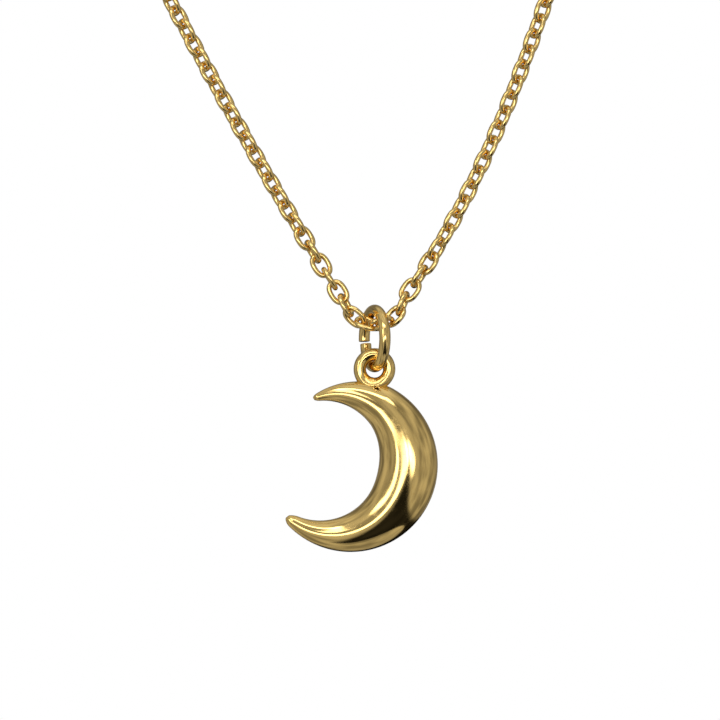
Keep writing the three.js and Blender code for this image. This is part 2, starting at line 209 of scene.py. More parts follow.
def capped_mesh(name: str, points: np.ndarray) -> bpy.types.Object:
    """A tube whose ends are closed, each to a pole at the middle of its last row.

    Args:
        name: the object's name.
        points: a (steps, around, 3) grid in metres.

    Returns:
        The object.
    """
    rows, columns = points.shape[:2]
    poles = np.stack([points[0].mean(0), points[-1].mean(0)])
    vertices = np.concatenate([points.reshape(-1, 3), poles])
    faces = grid_faces(rows, columns, False).tolist()
    faces += pole_faces(0, columns, rows * columns, True).tolist()
    faces += pole_faces((rows - 1) * columns, columns, rows * columns + 1, False).tolist()
    return new_object(name, vertices, faces)


def swept(
    path: np.ndarray, out: np.ndarray, side: np.ndarray, radius: np.ndarray, around: int
) -> np.ndarray:
    """A round section carried along a path: path + radius (cos a out + sin a side).

    Args:
        path: (n, 3) centres.
        out: (n, 3) first unit direction of each section.
        side: (n, 3) second unit direction of each section.
        radius: (n,) section radii.
        around: vertices round a section.

    Returns:
        An (n, around, 3) grid.
    """
    a = np.linspace(0, tau, around, endpoint=False)[None, :, None]
    spoke = np.cos(a) * out[:, None] + np.sin(a) * side[:, None]
    return path[:, None] + radius[:, None, None] * spoke


def cad_vertices(node: str) -> np.ndarray:
    """The vertices of a CAD node at rest.

    Args:
        node: the node's name.

    Returns:
        An (n, 3) array in metres.
    """
    mesh = bpy.data.objects[node].data
    co = np.zeros(len(mesh.vertices) * 3)
    mesh.vertices.foreach_get("co", co)
    return co.reshape(-1, 3)


def cad_middle(node: str) -> np.ndarray:
    """The middle of a CAD node's box.

    Args:
        node: the node's name.

    Returns:
        The point in metres.
    """
    low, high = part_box(node)
    return (np.array(low) + np.array(high)) / 2


# ---------------------------------------------------------------- finishes


@dataclass(frozen=True)
class Finish:
    """A polished metal finish.

    colour is the metal's own linear colour, deep the colour that settles in worn-in marks, roughness the
    mirror polish and spread how much it changes over the surface. scratch and ripple are bump heights in
    millimetres.
    """

    name: str
    colour: tuple = (0.97, 0.69, 0.25)
    deep: tuple = (0.84, 0.49, 0.13)
    roughness: float = 0.07
    spread: float = 0.07
    scratch: float = 0.0003
    ripple: float = 0.003
    solder_at: tuple = (0.0, 0.0, 1.0)
    solder_reach: float = 0.0

    def material(self) -> bpy.types.Material:
        """Builds the node material for this finish.

        Returns:
            The material.
        """
        mat = bpy.data.materials.new(self.name)
        mat.use_nodes = True
        nodes, links = mat.node_tree.nodes, mat.node_tree.links
        shader = nodes["Principled BSDF"]
        shader.inputs["Metallic"].default_value = 1.0
        coords = nodes.new("ShaderNodeTexCoord")
        polish = nodes.new("ShaderNodeGroup")
        polish.node_tree = polish_group()
        values = {
            "Colour": (*self.colour, 1),
            "Deep": (*self.deep, 1),
            "Roughness": self.roughness,
            "Spread": self.spread,
            "Scratch": self.scratch,
            "Ripple": self.ripple,
            "Solder At": self.solder_at,
            "Solder Reach": self.solder_reach,
        }
        for socket, value in values.items():
            polish.inputs[socket].default_value = value
        bump = nodes.new("ShaderNodeBump")
        bump.inputs["Distance"].default_value = MM
        bump.inputs["Strength"].default_value = 1.0
        links.new(coords.outputs["Object"], polish.inputs["Vector"])
        links.new(polish.outputs["Colour"], shader.inputs["Base Color"])
        links.new(polish.outputs["Roughness"], shader.inputs["Roughness"])
        links.new(polish.outputs["Height"], bump.inputs["Height"])
        links.new(bump.outputs["Normal"], shader.inputs["Normal"])
        return mat


class NodeSheet:
    """A short way to write a node tree: each call adds a node and returns its output."""

    def __init__(self, tree: bpy.types.NodeTree) -> None:
        """Keeps the tree.

        Args:
            tree: the tree that nodes are added to.
        """
        self.tree = tree

    def _feed(self, socket: bpy.types.NodeSocket, value: object) -> None:
        """Links an output to a socket, or sets the socket's own value.

        Args:
            socket: the input.
            value: an output or a plain value.
        """
        if isinstance(value, bpy.types.NodeSocket):
            self.tree.links.new(value, socket)
        else:
            socket.default_value = value

    def math(self, operation: str, a: object, b: object = 0.0, clamp: bool = False) -> bpy.types.NodeSocket:
        """A Math node.

        Args:
            operation: what it works out.
            a: its first value.
            b: its second value.
            clamp: whether the result is held within 0 and 1.

        Returns:
            Its output.
        """
        node = self.tree.nodes.new("ShaderNodeMath")
        node.operation = operation
        node.use_clamp = clamp
        self._feed(node.inputs[0], a)
        self._feed(node.inputs[1], b)
        return node.outputs[0]

    def vector(
        self, operation: str, a: object, b: object = (0, 0, 0), scale: object = 1.0
    ) -> bpy.types.Node:
        """A Vector Math node.

        Args:
            operation: what it works out.
            a: its first vector.
            b: its second vector.
            scale: the factor of a SCALE.

        Returns:
            The node, whose output is picked by the caller.
        """
        node = self.tree.nodes.new("ShaderNodeVectorMath")
        node.operation = operation
        self._feed(node.inputs[0], a)
        self._feed(node.inputs[1], b)
        if operation == "SCALE":
            self._feed(node.inputs["Scale"], scale)
        return node

    def ramp(
        self, value: object, low: float, high: float, start: float = 0.0, end: float = 1.0
    ) -> bpy.types.NodeSocket:
        """A smooth rise from start to end as value goes from low to high.

        Args:
            value: what the rise follows.
            low: the value where it begins.
            high: the value where it ends.
            start: the result below low.
            end: the result above high.

        Returns:
            Its output.
        """
        node = self.tree.nodes.new("ShaderNodeMapRange")
        node.interpolation_type = "SMOOTHSTEP"
        sockets = ("Value", "From Min", "From Max", "To Min", "To Max")
        for socket, given in zip(sockets, (value, low, high, start, end)):
            self._feed(node.inputs[socket], given)
        return node.outputs["Result"]

    def noise(
        self, vector: object, scale: float, detail: float = 2.0, roughness: float = 0.5
    ) -> bpy.types.NodeSocket:
        """A Noise Texture.

        Args:
            vector: where it is read.
            scale: its scale.
            detail: its octaves.
            roughness: how strong the finer octaves are.

        Returns:
            Its value, about 0.5.
        """
        node = self.tree.nodes.new("ShaderNodeTexNoise")
        self._feed(node.inputs["Vector"], vector)
        node.inputs["Scale"].default_value = scale
        node.inputs["Detail"].default_value = detail
        node.inputs["Roughness"].default_value = roughness
        return node.outputs["Fac"]

    def mix(self, factor: object, a: object, b: object) -> bpy.types.NodeSocket:
        """A colour mix.

        Args:
            factor: the share of b.
            a: the first colour.
            b: the second colour.

        Returns:
            The mixed colour.
        """
        node = self.tree.nodes.new("ShaderNodeMix")
        node.data_type = "RGBA"
        self._feed(node.inputs["Factor"], factor)
        self._feed(node.inputs[6], a)
        self._feed(node.inputs[7], b)
        return node.outputs[2]


def polish_group() -> bpy.types.NodeTree:
    """The shared polish: fine scratches, cast ripple, duller patches and rough solder near one point.

    Everything is worked out in millimetres from the Object coordinates. Scratches are noise stretched
    along one slanted direction and cut to thin lines; ripple is broad noise of low height; solder grain
    is coarse noise that fades with distance from Solder At over Solder Reach.

    Returns:
        The node group, made once.
    """
    found = bpy.data.node_groups.get("metal_polish")
    if found:
        return found
    tree = bpy.data.node_groups.new("metal_polish", "ShaderNodeTree")
    face = tree.interface
    face.new_socket("Vector", in_out="INPUT", socket_type="NodeSocketVector")
    for name in ("Colour", "Deep"):
        face.new_socket(name, in_out="INPUT", socket_type="NodeSocketColor")
    for name in ("Roughness", "Spread", "Scratch", "Ripple", "Solder Reach"):
        face.new_socket(name, in_out="INPUT", socket_type="NodeSocketFloat")
    face.new_socket("Solder At", in_out="INPUT", socket_type="NodeSocketVector")
    face.new_socket("Colour", in_out="OUTPUT", socket_type="NodeSocketColor")
    face.new_socket("Roughness", in_out="OUTPUT", socket_type="NodeSocketFloat")
    face.new_socket("Height", in_out="OUTPUT", socket_type="NodeSocketFloat")
    given = tree.nodes.new("NodeGroupInput")
    result = tree.nodes.new("NodeGroupOutput")
    sheet = NodeSheet(tree)
    place = sheet.vector("SCALE", given.outputs["Vector"], scale=1 / MM).outputs[0]
    stretched = sheet.vector("MULTIPLY", place, (9.0, 9.0, 0.7)).outputs[0]
    crossed = sheet.vector("MULTIPLY", place, (0.8, 9.0, 8.0)).outputs[0]
    lines = sheet.ramp(sheet.noise(stretched, 1.4, 3.0), 0.60, 0.70)
    lines_across = sheet.ramp(sheet.noise(crossed, 1.2, 3.0), 0.62, 0.72)
    scratches = sheet.math("MAXIMUM", lines, lines_across)
    broad = sheet.noise(place, 0.45, 2.0)
    grain = sheet.noise(place, 9.0, 2.0, 0.6)
    away = sheet.vector("DISTANCE", place, given.outputs["Solder At"]).outputs["Value"]
    reach = sheet.math("ADD", given.outputs["Solder Reach"], 1e-4)
    near = sheet.math("SUBTRACT", 1.0, sheet.math("DIVIDE", away, reach), True)
    pits = sheet.noise(place, 5.0, 4.0, 0.65)
    solder = sheet.math("MULTIPLY", near, pits)
    dull = sheet.ramp(sheet.noise(place, 1.1, 3.0), 0.42, 0.75)
    rough = sheet.math("MULTIPLY", dull, given.outputs["Spread"])
    rough = sheet.math("ADD", rough, given.outputs["Roughness"])
    rough = sheet.math("ADD", rough, sheet.math("MULTIPLY", scratches, 0.05))
    rough = sheet.math("ADD", rough, sheet.math("MULTIPLY", solder, 0.25))
    height = sheet.math("MULTIPLY", broad, given.outputs["Ripple"])
    height = sheet.math("SUBTRACT", height, sheet.math("MULTIPLY", scratches, given.outputs["Scratch"]))
    height = sheet.math("ADD", height, sheet.math("MULTIPLY", grain, 0.0002))
    height = sheet.math("ADD", height, sheet.math("MULTIPLY", solder, 0.025))
    marks = sheet.math("MULTIPLY", sheet.math("MAXIMUM", scratches, solder), 0.35)
    tree.links.new(sheet.mix(marks, given.outputs["Colour"], given.outputs["Deep"]), result.inputs["Colour"])
    tree.links.new(rough, result.inputs["Roughness"])
    tree.links.new(height, result.inputs["Height"])
    return tree


# ---------------------------------------------------------------- the chain


@dataclass
class CableLink:
    """One oval link of the cable chain, as bent from round wire and closed with a soldered butt joint."""

    width_mm: float = 1.74
    length_mm: float = 2.385
    wire_mm: float = 0.45
    fullness: float = 2.4

    def grid(self, steps: int, around: int) -> np.ndarray:
        """The link's surface, its length along X and its width along Y, in metres.

        The centreline is a superellipse, |x/a|^n + |y/b|^n = 1 with n the fullness, walked at even arc
        length; the section is a circle of the wire's radius.

        Args:
            steps: sections along the wire.
            around: vertices round a section.

        Returns:
            A (steps, around, 3) grid that wraps both ways.
        """
        t = np.linspace(0, tau, 4001)
        power = 2 / self.fullness
        x = (self.length_mm - self.wire_mm) / 2 * np.sign(np.cos(t)) * np.abs(np.cos(t)) ** power
        y = (self.width_mm - self.wire_mm) / 2 * np.sign(np.sin(t)) * np.abs(np.sin(t)) ** power
        walked = np.concatenate([[0.0], np.cumsum(np.hypot(np.diff(x), np.diff(y)))])
        at = walked[-1] * (np.arange(steps) + 0.5) / steps
        path = np.stack([np.interp(at, walked, x), np.interp(at, walked, y), np.zeros(steps)], -1)
        along = unit(np.roll(path, -1, 0) - np.roll(path, 1, 0))
        side = np.tile([0.0, 0.0, 1.0], (steps, 1))
        out = np.cross(along, side)
        return swept(path, out, side, np.full(steps, self.wire_mm / 2), around) * MM


@dataclass
class ChainLinks:
    """The single links of the two front strands, each a piece that rides on its own body."""

    link: CableLink = field(default_factory=CableLink)
    steps: int = 56
    around: int = 16

    def names(self) -> list[str]:
        """The CAD nodes that are single links.

        Returns:
            Their names in order.
        """
        return sorted(n for n in frame["nodes"] if n.startswith(("link_", "ring_link_")))

    def place(self, node: str) -> tuple[np.ndarray, np.ndarray]:
        """Where a CAD link lies: its middle, and its length, width and face directions as rows.

        They are the middle of the box and the three directions in which the vertices spread most to least.

        Args:
            node: the link's name.

        Returns:
            The middle in metres, and the three unit directions.
        """
        co = cad_vertices(node)
        middle = (co.max(0) + co.min(0)) / 2
        centred = co - co.mean(0)
        turn = np.linalg.svd(centred, full_matrices=False)[2]
        if np.linalg.det(turn) < 0:
            turn[2] = -turn[2]
        return middle, turn

    def build(self, material: bpy.types.Material) -> int:
        """Makes and dresses every single link.

        Args:
            material: their finish.

        Returns:
            How many there are.
        """
        local = self.link.grid(self.steps, self.around)
        for node in self.names():
            middle, turn = self.place(node)
            piece = ring_mesh(f"{node}_wire", local @ turn + middle)
            piece.data.materials.append(material)
            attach(piece, node)
            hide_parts(node)
        return len(self.names())


@dataclass
class ChainRun:
    """The rest of one side of the chain: out of the strand, over the bar, down to a ring of the clasp."""

    side: str
    route_mm: list
    last_link: str
    first_roll: float
    ring: str
    ring_wire_mm: float
    ring_towards: float
    end_pieces: tuple
    link: CableLink = field(default_factory=CableLink)
    pitch_mm: float = 1.4
    twist_links: int = 8
    fine_links: int = 4
    fine_grid: tuple = (40, 12)
    plain_grid: tuple = (12, 5)

    def line(self) -> np.ndarray:
        """The smooth route in metres, from the last single link to the link in the clasp's ring.

        Each span is a cubic through the route's points whose end slopes are the chord-weighted means of
        the spans beside it.

        Returns:
            An (n, 3) array of close points.
        """
        start = (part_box(self.last_link)[0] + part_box(self.last_link)[1]) / 2
        low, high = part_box(self.ring)
        ring_edge = low.x if self.ring_towards < 0 else high.x
        reach = (self.link.length_mm / 2 - self.link.wire_mm - self.ring_wire_mm - 0.03) * MM
        middle = (np.array(low) + np.array(high)) / 2
        end = np.array([ring_edge + self.ring_towards * reach, middle[1], middle[2]])
        points = np.concatenate([[np.array(start)], np.array(self.route_mm) * MM, [end]])
        chord = np.linalg.norm(np.diff(points, axis=0), axis=1)
        secant = np.diff(points, axis=0) / chord[:, None]
        weighted = secant[:-1] * chord[1:, None] + secant[1:] * chord[:-1, None]
        inner = weighted / (chord[:-1] + chord[1:])[:, None]
        slope = np.concatenate([secant[:1], inner, secant[-1:]])
        u = np.linspace(0, 1, 24, endpoint=False)[None, :, None]
        c = chord[:, None, None]
        p0, p1, m0, m1 = points[:-1, None], points[1:, None], slope[:-1, None] * c, slope[1:, None] * c
        spans = (2 * u**3 - 3 * u**2 + 1) * p0 + (u**3 - 2 * u**2 + u) * m0
        spans = spans + (-2 * u**3 + 3 * u**2) * p1 + (u**3 - u**2) * m1
        return np.concatenate([spans.reshape(-1, 3), points[-1:]])

    def stations(self) -> tuple[np.ndarray, np.ndarray, np.ndarray]:
        """Even places for the links along the route.

        Returns:
            Link middles in metres, their directions, and the way out from the bar at each.
        """
        dense = self.line()
        run = np.concatenate([[0.0], np.cumsum(np.linalg.norm(np.diff(dense, axis=0), axis=1))])
        count = int(round(run[-1] / (self.pitch_mm * MM)))
        at = run[-1] * np.arange(1, count + 1) / count

        def sample(s: np.ndarray) -> np.ndarray:
            """The route's points at the lengths s along it."""
            return np.stack([np.interp(s, run, dense[:, k]) for k in range(3)], -1)

        middle = sample(at)
        half = 0.4 * self.pitch_mm * MM
        along = unit(sample(np.clip(at + half, 0, run[-1])) - sample(at - half))
        over_bar = np.maximum(middle[:, 2], 0)
        outward = unit(np.stack([np.zeros(count), middle[:, 1], over_bar], -1))
        return middle, along, outward

    def build(self, material: bpy.types.Material) -> bpy.types.Object:
        """Link n leans by its roll about the chain's line; rolls alternate by a quarter turn, and ease to
        face the bar squarely where the last link enters the clasp's ring. The first links are finer.

        Args:
            material: the chain's finish.

        Returns:
            The run's object.
        """
        middle, along, outward = self.stations()
        count = len(middle)
        facing = unit(outward - (outward * along).sum(-1, keepdims=True) * along)
        across = np.cross(along, facing)
        left = count - 1 - np.arange(count)
        parity_roll = self.first_roll + 90.0 * (np.arange(count) % 2)
        end_roll = self.first_roll + 90.0 * ((count - 1) % 2)
        to_square = 90.0 * round(end_roll / 180.0) * 2 - end_roll
        ease = smoothstep(1 - left / self.twist_links)
        roll = np.radians(parity_roll + to_square * ease)[:, None]
        face = np.cos(roll) * facing + np.sin(roll) * across
        width = np.cross(face, along)
        turn = np.stack([along, width, face], 1)
        grids, faces, start = [], [], 0
        first = (slice(0, self.fine_links), *self.fine_grid)
        rest = (slice(self.fine_links, None), *self.plain_grid)
        for part, steps, around in (first, rest):
            local = self.link.grid(steps, around)
            placed = np.einsum("abi,nij->nabj", local, turn[part]) + middle[part][:, None, None]
            grids.append(placed.reshape(-1, 3))
            offsets = start + np.arange(len(placed)) * steps * around
            faces.append((grid_faces(steps, around, True)[None] + offsets[:, None, None]).reshape(-1, 4))
            start += len(grids[-1])
        name = f"chain_{self.side}_run_links"
        piece = new_object(name, np.concatenate(grids), np.concatenate(faces).tolist())
        piece.data.materials.append(material)
        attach(piece, "chain_runs")
        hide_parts(f"chain_{self.side}_run")
        dense = self.line()
        return piece


# ---------------------------------------------------------------- the pendant


@dataclass
class JumpRing:
    """The round ring of wire between chain and bail, with its cut in the rear half."""

    wire_mm: float = 1.0
    inner_mm: float = 4.0
    turn: float = 21.0
    cut_mm: float = 0.2
    cut_angle: float = -8.0
    misfit_mm: float = 0.14
    bevel_mm: float = 0.06

    def build(self, material: bpy.types.Material) -> bpy.types.Object:
        """The wire walks the circle from one side of the cut to the other.

        Its last sections shrink by a quarter circle, which rounds the cut's edges, and one end stands a
        little aside and outwards, as pliers leave it.

        Args:
            material: its finish.

        Returns:
            The ring's object.
        """
        middle = cad_middle("jump_ring")
        radius = (self.inner_mm + self.wire_mm) / 2
        half_cut = self.cut_mm / 2 / radius
        start = pi - radians(self.cut_angle)
        inset = np.array([0.0, 0.15, 0.45, 1.0]) * self.bevel_mm / radius
        inside = np.linspace(inset[-1], tau - 2 * half_cut - inset[-1], 150)
        walk = np.concatenate([inset[:-1], inside, (tau - 2 * half_cut - inset[:-1])[::-1]])
        from_end = np.minimum(walk, walk[-1] - walk) * radius / self.bevel_mm
        section = self.wire_mm / 2 - self.bevel_mm * (1 - np.sqrt(1 - (1 - np.clip(from_end, 0, 1)) ** 2))
        aside = self.misfit_mm * smoothstep(1 - walk / radians(45))
        angle = start + half_cut + walk
        plane_x = np.array([sin(radians(self.turn)), -cos(radians(self.turn)), 0.0])
        normal = np.array([cos(radians(self.turn)), sin(radians(self.turn)), 0.0])
        out = np.cos(angle)[:, None] * plane_x + np.sin(angle)[:, None] * np.array([0.0, 0.0, 1.0])
        path = (radius + 0.4 * aside)[:, None] * out + aside[:, None] * normal
        side = np.tile(normal, (len(walk), 1))
        grid = swept(path, out, side, section, 32) * MM + middle
        piece = capped_mesh("jump_ring_wire", grid)
        piece.data.materials.append(material)
        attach(piece, "jump_ring")
        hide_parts("jump_ring")
        return piece


@dataclass
class Moon:
    """The hollow puffed crescent, its bail ring, the solder between them and the vent hole.

    Angles are in degrees from the fat middle of the crescent, positive towards the lower horn. The
    outline lies between an outer circle and an inner circle whose centre is offset towards the horns.
    """

    outer_mm: float = 7.71
    inner_mm: float = 5.3
    offset_mm: float = 2.84
    slim_mm: float = 0.2005
    lean: float = 10.7
    horn: float = 130.5
    curl_start: float = 74.0
    curl_mm: float = 0.0135
    inner_curl_share: float = 0.45
    upper_round: float = 4.0
    lower_round: float = 6.0
    puff: float = 0.8
    wall_mm: float = 0.3
    solder_gap_mm: float = 0.03
    bail_wire_mm: float = 1.1
    bail_inner_mm: float = 1.5
    bail_stand_mm: float = 1.02
    solder_mm: tuple = (1.45, 0.60, 0.30)
    bail_angle: float = 76.0
    vent_mm: float = 0.45
    vent_angle: float = 71.4
    vent_below_mm: float = 0.45

    def centre(self) -> np.ndarray:
        """The outer circle's centre, found back from the bail's place on the rim.

        Returns:
            The point in metres.
        """
        bail = self.bail_centre()
        reach = (self.outer_mm + self.bail_stand_mm) * MM
        angle = radians(self.bail_angle)
        return bail - reach * np.array([cos(angle), 0.0, sin(angle)])

    def bail_centre(self) -> np.ndarray:
        """The bail ring's centre, below the joint that it swings on.

        Returns:
            The point in metres.
        """
        pivot = next(j for j in frame["joints"] if j["name"] == "pendant_swing")["pos_m"]
        drop = (JumpRing.wire_mm / 2 + REST_GAP_MM - self.bail_inner_mm / 2) * MM
        return np.array(pivot) + np.array([0.0, 0.0, drop])

    def outlines(self, angle: np.ndarray) -> tuple[np.ndarray, np.ndarray]:
        """Distances from the centre to the two outlines.

        The outer is a circle less the curl; the inner is the offset circle plus the slimming of the limbs.

        Args:
            angle: places along the crescent.

        Returns:
            The outer and inner distances in millimetres.
        """
        curl = self.curl_mm * np.maximum(0, -angle - self.curl_start)
        outer = self.outer_mm - curl
        aside = self.offset_mm * np.sin(np.radians(angle))
        along = self.offset_mm * np.cos(np.radians(angle))
        slim = self.slim_mm * np.sin(np.radians(angle)) ** 2
        inner = np.sqrt(self.inner_mm**2 - aside**2) - along + slim - self.inner_curl_share * curl
        return outer, inner

    def tips(self, angle: np.ndarray) -> np.ndarray:
        """How full the section is, falling as a quarter circle at each horn's tip.

        Args:
            angle: places along the crescent.

        Returns:
            1 along the crescent and 0 at the tips.
        """
        upper = np.maximum(0, 1 - (self.horn + angle) / self.upper_round)
        lower = np.maximum(0, 1 - (self.horn - angle) / self.lower_round)
        return np.sqrt(np.maximum(0, 1 - upper**2)) * np.sqrt(np.maximum(0, 1 - lower**2))

    def surface(self, angle: np.ndarray, around: np.ndarray, inset: float) -> np.ndarray:
        """Points of the puffed skin: an oval section carried round the crescent.

        Args:
            angle: places along the crescent.
            around: section angle in radians, 0 at the outer rim and positive to the front.
            inset: distance inside the outer skin, in millimetres.

        Returns:
            Points in metres, over the arrays' shared shape.
        """
        outer, inner = self.outlines(angle)
        half = (outer - inner) / 2
        tips = self.tips(angle)
        wide = np.maximum(half - inset, 0.02) * tips
        deep = np.maximum(self.puff * half - inset, 0.02) * tips
        radial = (outer + inner) / 2 + wide * np.cos(around)
        direction = np.radians(-self.lean - angle)
        x = radial * np.cos(direction)
        z = radial * np.sin(direction)
        y = -deep * np.sin(around) + 0 * radial
        return np.stack([x, y, z], -1) * MM + self.centre()

    def shell(self, front: bool, material: bpy.types.Material) -> bpy.types.Object:
        """One half of the hollow crescent.

        The section is carried from horn to horn: the outer skin from rim to rim, then back along the
        inner skin.

        Args:
            front: the half towards the viewer, otherwise the back half.
            material: its finish.

        Returns:
            The half's object.
        """
        steps, across = 260, 44
        w = np.linspace(0, 1, steps + 2)[1:-1]
        eased = 0.5 * w + 0.5 * (1 - np.cos(pi * w)) / 2
        angle = (self.horn * (2 * eased - 1))[:, None]
        half_turn = np.linspace(0, pi, across)
        sign = 1.0 if front else -1.0
        outer = self.surface(angle, sign * half_turn[None], 0.0)
        inner = self.surface(angle, sign * half_turn[::-1][None], self.wall_mm)
        grid = np.concatenate([outer, inner], 1)
        grid[..., 1] -= sign * self.solder_gap_mm / 4 * MM
        name = "moon_front_skin" if front else "moon_back_skin"
        piece = capped_mesh(name, grid)
        piece.data.materials.append(material)
        node = "crescent_front_shell" if front else "crescent_back_shell"
        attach(piece, "pendant")
        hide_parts(node)
        return piece

    def vent_place(self) -> np.ndarray:
        """The vent hole's middle on the front skin.

        Returns:
            The point in metres.
        """
        outer, inner = self.outlines(np.array([-self.lean - self.vent_angle]))
        half = float((outer - inner)[0] / 2)
        share = (half - self.vent_below_mm) / half
        return self.surface(np.array(-self.lean - self.vent_angle), np.arccos(share), 0.0)

    def cut_vent(self, skin: bpy.types.Object) -> None:
        """Cuts the vent through the front skin with a round cutter, and leaves the result in the mesh.

        Args:
            skin: the front half.
        """
        at = self.vent_place()
        angle = np.linspace(0, tau, 40, endpoint=False)
        ring = np.stack([np.cos(angle), np.zeros(40), np.sin(angle)], -1) * self.vent_mm / 2 * MM
        depth = np.linspace(-0.8, 1.0, 3)[:, None, None] * np.array([0.0, MM, 0.0])
        cutter = capped_mesh("vent_cutter", ring[None] + depth + at)
        cut = skin.modifiers.new("vent", "BOOLEAN")
        cut.object = cutter
        cut.operation = "DIFFERENCE"
        cut.solver = "EXACT"
        graph = bpy.context.evaluated_depsgraph_get()
        result = bpy.data.meshes.new_from_object(skin.evaluated_get(graph))
        skin.modifiers.clear()
        skin.data = result
        bpy.data.objects.remove(cutter)

    def vent_rim(self, material: bpy.types.Material) -> bpy.types.Object:
        """The low burr round the vent: a thin ring laid on the skin, its radius and wire stirred by slow
        waves.

        Args:
            material: its finish.

        Returns:
            The burr's object.
        """
        at = self.vent_place()
        turn = np.linspace(0, tau, 64, endpoint=False)
        outward = unit(np.array([[cos(radians(self.vent_angle)), -1.05, sin(radians(self.vent_angle))]]))[0]
        first = unit(np.cross(outward, [0.0, 1.0, 0.0]))
        second = np.cross(first, outward)
        reach = (self.vent_mm / 2 + 0.045 + 0.02 * np.sin(2 * turn + 0.7)) * MM
        circle = np.cos(turn)[:, None] * first + np.sin(turn)[:, None] * second
        path = at + reach[:, None] * circle
        thickness = (0.065 + 0.02 * np.sin(3 * turn + 1.0)) * MM
        piece = ring_mesh("vent_rim", swept(path, circle, np.tile(outward, (64, 1)), thickness, 12))
        piece.data.materials.append(material)
        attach(piece, "pendant")
        return piece

    def bail(self, material: bpy.types.Material) -> bpy.types.Object:
        """The bail ring: a torus whose wire swells as a bell curve towards the crescent, under the solder.

        Args:
            material: its finish.

        Returns:
            The bail's object.
        """
        centre = self.bail_centre()
        radius = (self.bail_inner_mm + self.bail_wire_mm) / 2
        steps, around = 140, 40
        theta = np.linspace(0, tau, steps, endpoint=False)
        foot = radians(self.bail_angle) + pi
        off = np.abs((theta - foot + pi) % tau - pi)
        swell = np.exp(-((off / 0.62) ** 2))
        out = np.stack([np.cos(theta), np.zeros(steps), np.sin(theta)], -1)
        psi = np.linspace(0, tau, around, endpoint=False)[None]
        outer_side = smoothstep((np.cos(psi) + 0.4) / 1.2)
        section = self.bail_wire_mm / 2 * (1 + 0.30 * swell[:, None] * outer_side)
        radial = radius + section * np.cos(psi)
        deep = section * np.sin(psi) * (1 + 0.18 * swell[:, None])
        grid = radial[..., None] * out[:, None] - deep[..., None] * np.array([0.0, 1.0, 0.0])
        piece = ring_mesh("bail_ring_body", grid * MM + centre)
        piece.data.materials.append(material)
        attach(piece, "pendant")
        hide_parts("bail_ring")
        return piece

    def solder(self, material: bpy.types.Material) -> bpy.types.Object:
        """The solder saddle: a low mound along the rim under the bail, with a wavering edge.

        It is a sphere squashed to the saddle's length, depth and height, its radius stirred by a few slow
        waves.

        Args:
            material: its finish.

        Returns:
            The saddle's object.
        """
        rows, columns = 40, 64
        polar = np.linspace(0, pi, rows + 2)[1:-1, None]
        turn = np.linspace(0, tau, columns, endpoint=False)[None]
        slow = 0.05 * np.sin(5 * turn + 0.6) * np.sin(polar)
        quick = 0.035 * np.sin(9 * turn + 2.0) * np.sin(2 * polar)
        ball = [np.cos(turn) * np.sin(polar), np.sin(turn) * np.sin(polar), np.cos(polar) + 0 * turn]
        flat = np.stack(ball, -1) * (1 + slow + quick)[..., None]
        angle = radians(self.bail_angle)
        up = np.array([cos(angle), 0.0, sin(angle)])
        along = np.array([sin(angle), 0.0, -cos(angle)])
        back = np.array([0.0, 1.0, 0.0])
        offset = flat * np.array(self.solder_mm) @ np.stack([along, back, up])
        at = self.centre() + (self.outer_mm - 0.02) * MM * up
        piece = capped_mesh("bail_solder", offset * MM + at)
        piece.data.materials.append(material)
        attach(piece, "pendant")
        return piece

    def build(self, skin: bpy.types.Material, soldered: bpy.types.Material) -> None:
        """Makes and dresses the crescent, its bail, the solder and the vent.

        Args:
            skin: the crescent's finish.
            soldered: the finish of the bail, the solder and the vent's burr.
        """
        front = self.shell(True, skin)
        self.cut_vent(front)
        self.shell(False, skin)
        self.vent_rim(soldered)
        self.bail(soldered)
        self.solder(soldered)
        LOG.info("moon: front and back skins, vent rim, bail, solder")


# ---------------------------------------------------------------- the clasp


@dataclass
class SpringRingClasp:
    """The spring-ring clasp: tube body with its slot and eye, sliding bolt with thumb piece, and spring."""

    def build(self, gold: bpy.types.Material, steel: bpy.types.Material) -> None:
        """Dresses the clasp's CAD pieces, and remakes its rings as smooth wire.

        Args:
            gold: the finish of all but the spring.
            steel: the spring's finish.
        """
        for node in ("clasp_body", "clasp_bolt"):
            self.dress(node, gold)
        self.dress("clasp_spring", steel)
        self.ring("catch_ring", 1.3, 0.6, gold)
        self.ring("end_ring", 1.05, 0.5, gold)

    def dress(self, node: str, material: bpy.types.Material) -> None:
        """Puts a finish on a CAD node that stays as it is.

        Args:
            node: the node's name.
            material: its finish.
        """
        slots = frame["nodes"][node].material_slots
        if not slots:
            frame["nodes"][node].data.materials.append(material)
        for place in slots:
            place.material = material

    def ring(
        self, node: str, radius_mm: float, wire_mm: float, material: bpy.types.Material
    ) -> bpy.types.Object:
        """A round ring of wire, lying flat at the CAD ring's place.

        Args:
            node: the CAD ring.
            radius_mm: centre to the middle of the wire.
            wire_mm: the wire's diameter.
            material: its finish.

        Returns:
            The ring's object.
        """
        turn = np.linspace(0, tau, 72, endpoint=False)
        out = np.stack([np.cos(turn), np.sin(turn), np.zeros(72)], -1)
        up = np.tile([0.0, 0.0, 1.0], (72, 1))
        grid = swept(radius_mm * out, out, up, np.full(72, wire_mm / 2), 18) * MM + cad_middle(node)
        piece = ring_mesh(f"{node}_wire", grid)
        piece.data.materials.append(material)
        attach(piece, node)
        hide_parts(node)
        return piece


# ---------------------------------------------------------------- the studio


